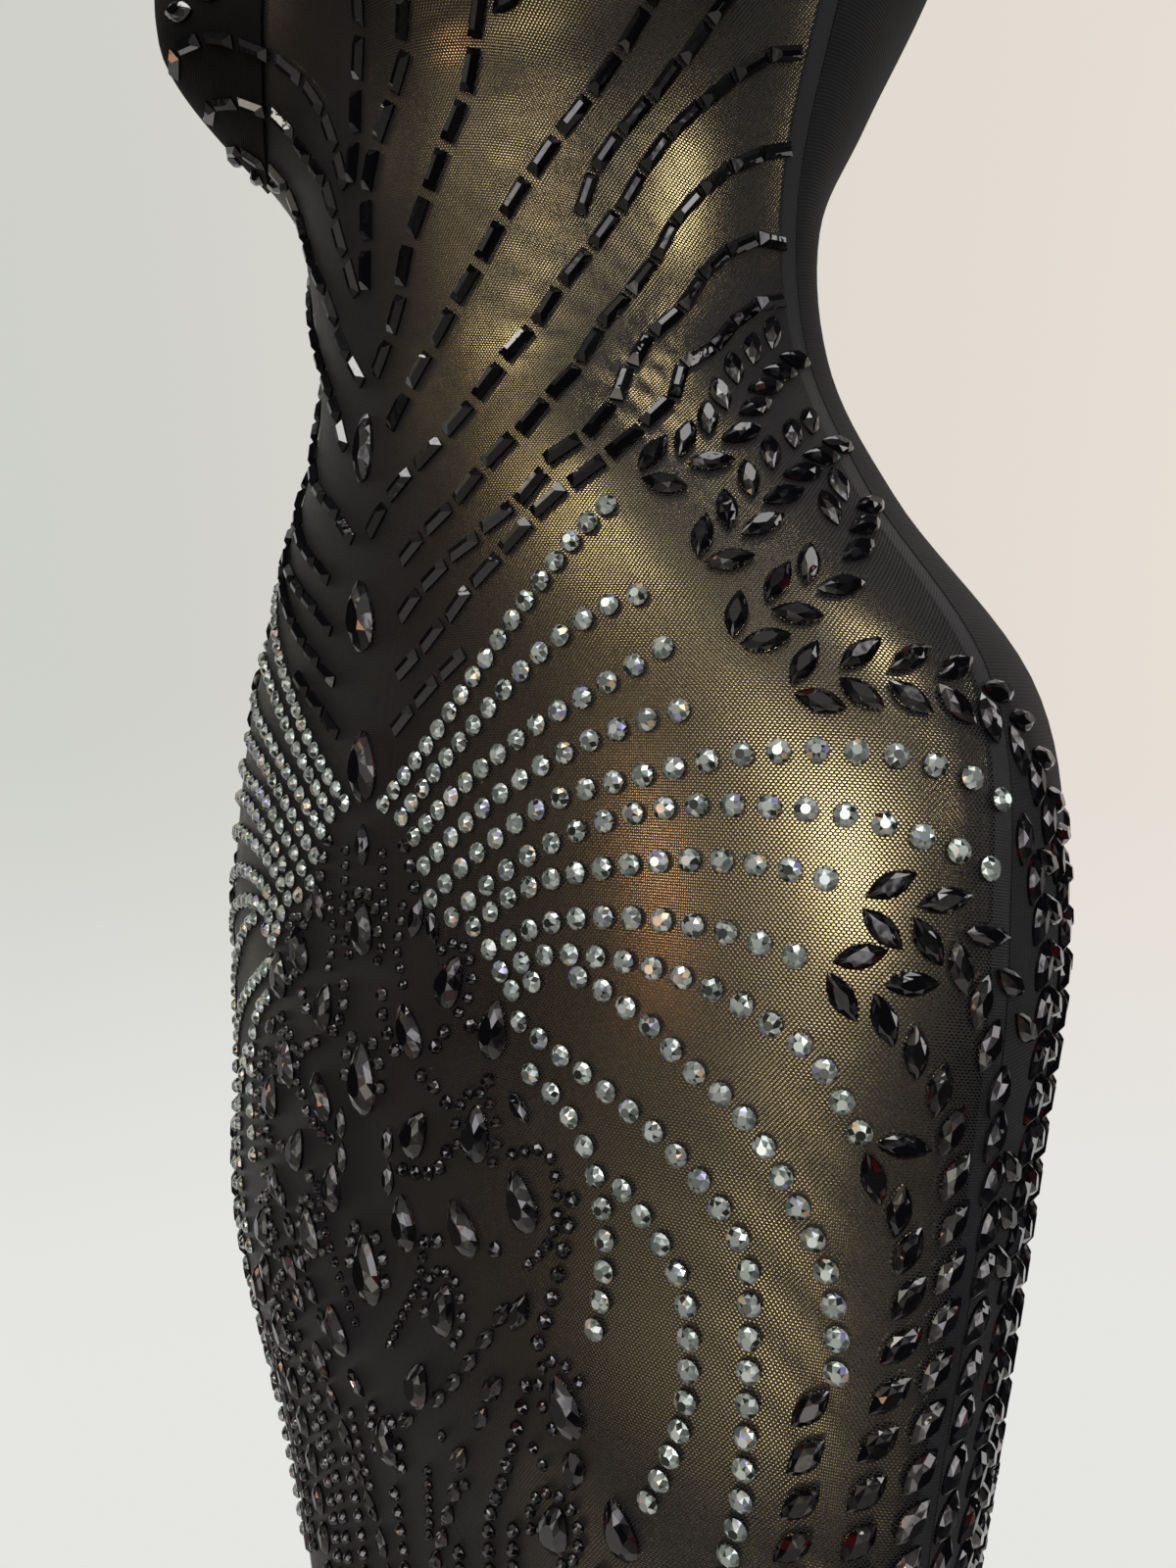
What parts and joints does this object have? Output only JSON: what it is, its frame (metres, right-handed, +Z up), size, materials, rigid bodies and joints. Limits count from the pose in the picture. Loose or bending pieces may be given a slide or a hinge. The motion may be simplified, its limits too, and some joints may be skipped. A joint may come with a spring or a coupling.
{
  "type": "mesh dress on a limbless dress form",
  "caption": "Full-length fitted gown with a net front, opaque back and glass stones, standing on a limbless torso form with a pole and round base.",
  "frame": {"origin": "centre of the round base's underside, on the floor below the form's pole", "axes": "+Z up along the pole, -Y towards the front of the gown, +X towards the wearer's left"},
  "size_m": [0.4, 0.33, 1.5101],
  "materials": {
    "net": "sheer power net with a soft sheen",
    "back_fabric": "matte stretch knit with fine ribs",
    "cup_fabric": "matte",
    "strap_fabric": "matte",
    "jet_stone": "faceted, polished",
    "clear_stone": "faceted, foil backed",
    "gold_form": "gold lacquer, glossy",
    "neck_cap": "gold, satin",
    "pole_steel": "polished",
    "base_plate": "brushed"
  },
  "bodies": {
    "root": {"front_net_panel": "net", "back_panel": "back_fabric", "cup_left": "cup_fabric", "cup_right": "cup_fabric", "strap_left": "strap_fabric", "strap_right": "strap_fabric", "form_torso": "gold_form", "form_neck_cap": "neck_cap", "stand_pole": "pole_steel", "stand_base": "base_plate"}
  },
  "joints": []
}
